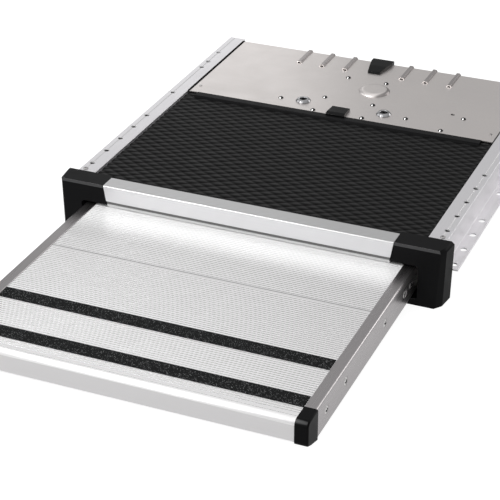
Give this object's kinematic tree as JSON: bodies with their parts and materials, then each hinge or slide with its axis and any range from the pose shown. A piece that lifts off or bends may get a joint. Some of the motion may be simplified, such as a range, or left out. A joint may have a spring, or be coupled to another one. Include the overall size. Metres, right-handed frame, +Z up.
{
  "type": "electric entry step",
  "caption": "Slide-out electric entry step: a ribbed tread tray runs out of a flat cassette that bolts under a vehicle's doorway by the drilled flanges of its side rails.",
  "frame": {"origin": "midway between the four outermost fixing holes, in the plane of the fixing flanges' top faces", "axes": "+X along the doorway, +Y under the vehicle away from the tread, +Z up"},
  "size_m": [0.664, 1.108, 0.0993],
  "materials": {
    "tread_aluminium": "anodised, fine ribs",
    "beam_aluminium": "clear anodised",
    "rail_aluminium": "clear anodised",
    "cast_aluminium": "as cast",
    "stainless": "rolled, lightly mottled",
    "zinc_sheet": "zinc plated",
    "bright_steel": "bright",
    "black_cap": "satin moulded",
    "cover_plastic": "moulded scales",
    "trim_plastic": "satin",
    "gloss_black": "gloss",
    "grip_tape": "coarse mineral grit",
    "motor_paint": "semi-gloss black",
    "belt_rubber": "matt",
    "glide_plastic": "smooth",
    "magnet_plastic": "smooth"
  },
  "bodies": {
    "cassette": {"front_beam": "beam_aluminium", "cover_panel": "cover_plastic", "cover_bar": "trim_plastic", "bar_clip": "gloss_black", "rear_plate": "stainless", "plate_rivets": "bright_steel", "corner_rivets": "bright_steel", "edge_cap": "gloss_black", "sensor_bracket": "zinc_sheet", "end_sensor": "trim_plastic", "motor_bracket": "zinc_sheet", "gearbox_housing": "cast_aluminium", "gearbox_cover": "trim_plastic", "gearbox_cover_screws": "bright_steel", "gearbox_screws": "bright_steel", "motor_can": "motor_paint", "motor_end": "trim_plastic", "drive_belt": "belt_rubber", "idler_pin": "bright_steel", "idler_bracket": "zinc_sheet", "idler_screws": "bright_steel", "front_tie": "zinc_sheet", "motor_guard": "zinc_sheet", "frame_screws": "bright_steel", "cable_gland": "trim_plastic", "fixing_collars": "bright_steel", "corner_screws": "bright_steel", "side_rail_right": "rail_aluminium", "side_rail_left": "rail_aluminium", "corner_cap_right": "black_cap", "corner_cap_left": "black_cap", "corner_bracket_right": "cast_aluminium", "corner_bracket_left": "cast_aluminium", "doubler_plate_right": "zinc_sheet", "doubler_plate_left": "zinc_sheet", "front_glide_right": "glide_plastic", "front_glide_left": "glide_plastic", "travel_stop_right": "glide_plastic", "travel_stop_left": "glide_plastic", "rear_bumper_right": "belt_rubber", "rear_bumper_left": "belt_rubber"},
    "tray": {"tread_front": "tread_aluminium", "tread_rear": "tread_aluminium", "grip_tape_front": "grip_tape", "grip_tape_rear": "grip_tape", "drive_bracket": "stainless", "belt_clamp": "stainless", "drive_screws": "bright_steel", "sensor_magnet": "magnet_plastic", "member_screws": "bright_steel", "side_member_right": "stainless", "side_member_left": "stainless", "end_cap_right": "black_cap", "end_cap_left": "black_cap", "rear_glide_right": "glide_plastic", "rear_glide_left": "glide_plastic"},
    "drive": {"output_shaft": "bright_steel", "drive_pulley": "cast_aluminium", "shaft_nut": "bright_steel"},
    "idler": {"idler_pulley": "cast_aluminium"}
  },
  "joints": [
    {"name": "tray_slide", "type": "slide", "parent": "cassette", "child": "tray", "axis": [0, 1, 0], "range_m": [0, 0.4]},
    {"name": "drive_turn", "type": "hinge", "parent": "cassette", "child": "drive", "pos_m": [0.027, 0.1972, -0.0172], "axis": [0, 0, 1], "range_deg": [-1610, 0]},
    {"name": "idler_turn", "type": "hinge", "parent": "cassette", "child": "idler", "pos_m": [0.027, -0.2818, -0.0172], "axis": [0, 0, 1], "range_deg": [-1610, 0]}
  ],
  "couplings": [
    {"joint": "drive_turn", "follows": "tray_slide", "rad_per_m": -69.93},
    {"joint": "idler_turn", "follows": "tray_slide", "rad_per_m": -69.93}
  ]
}
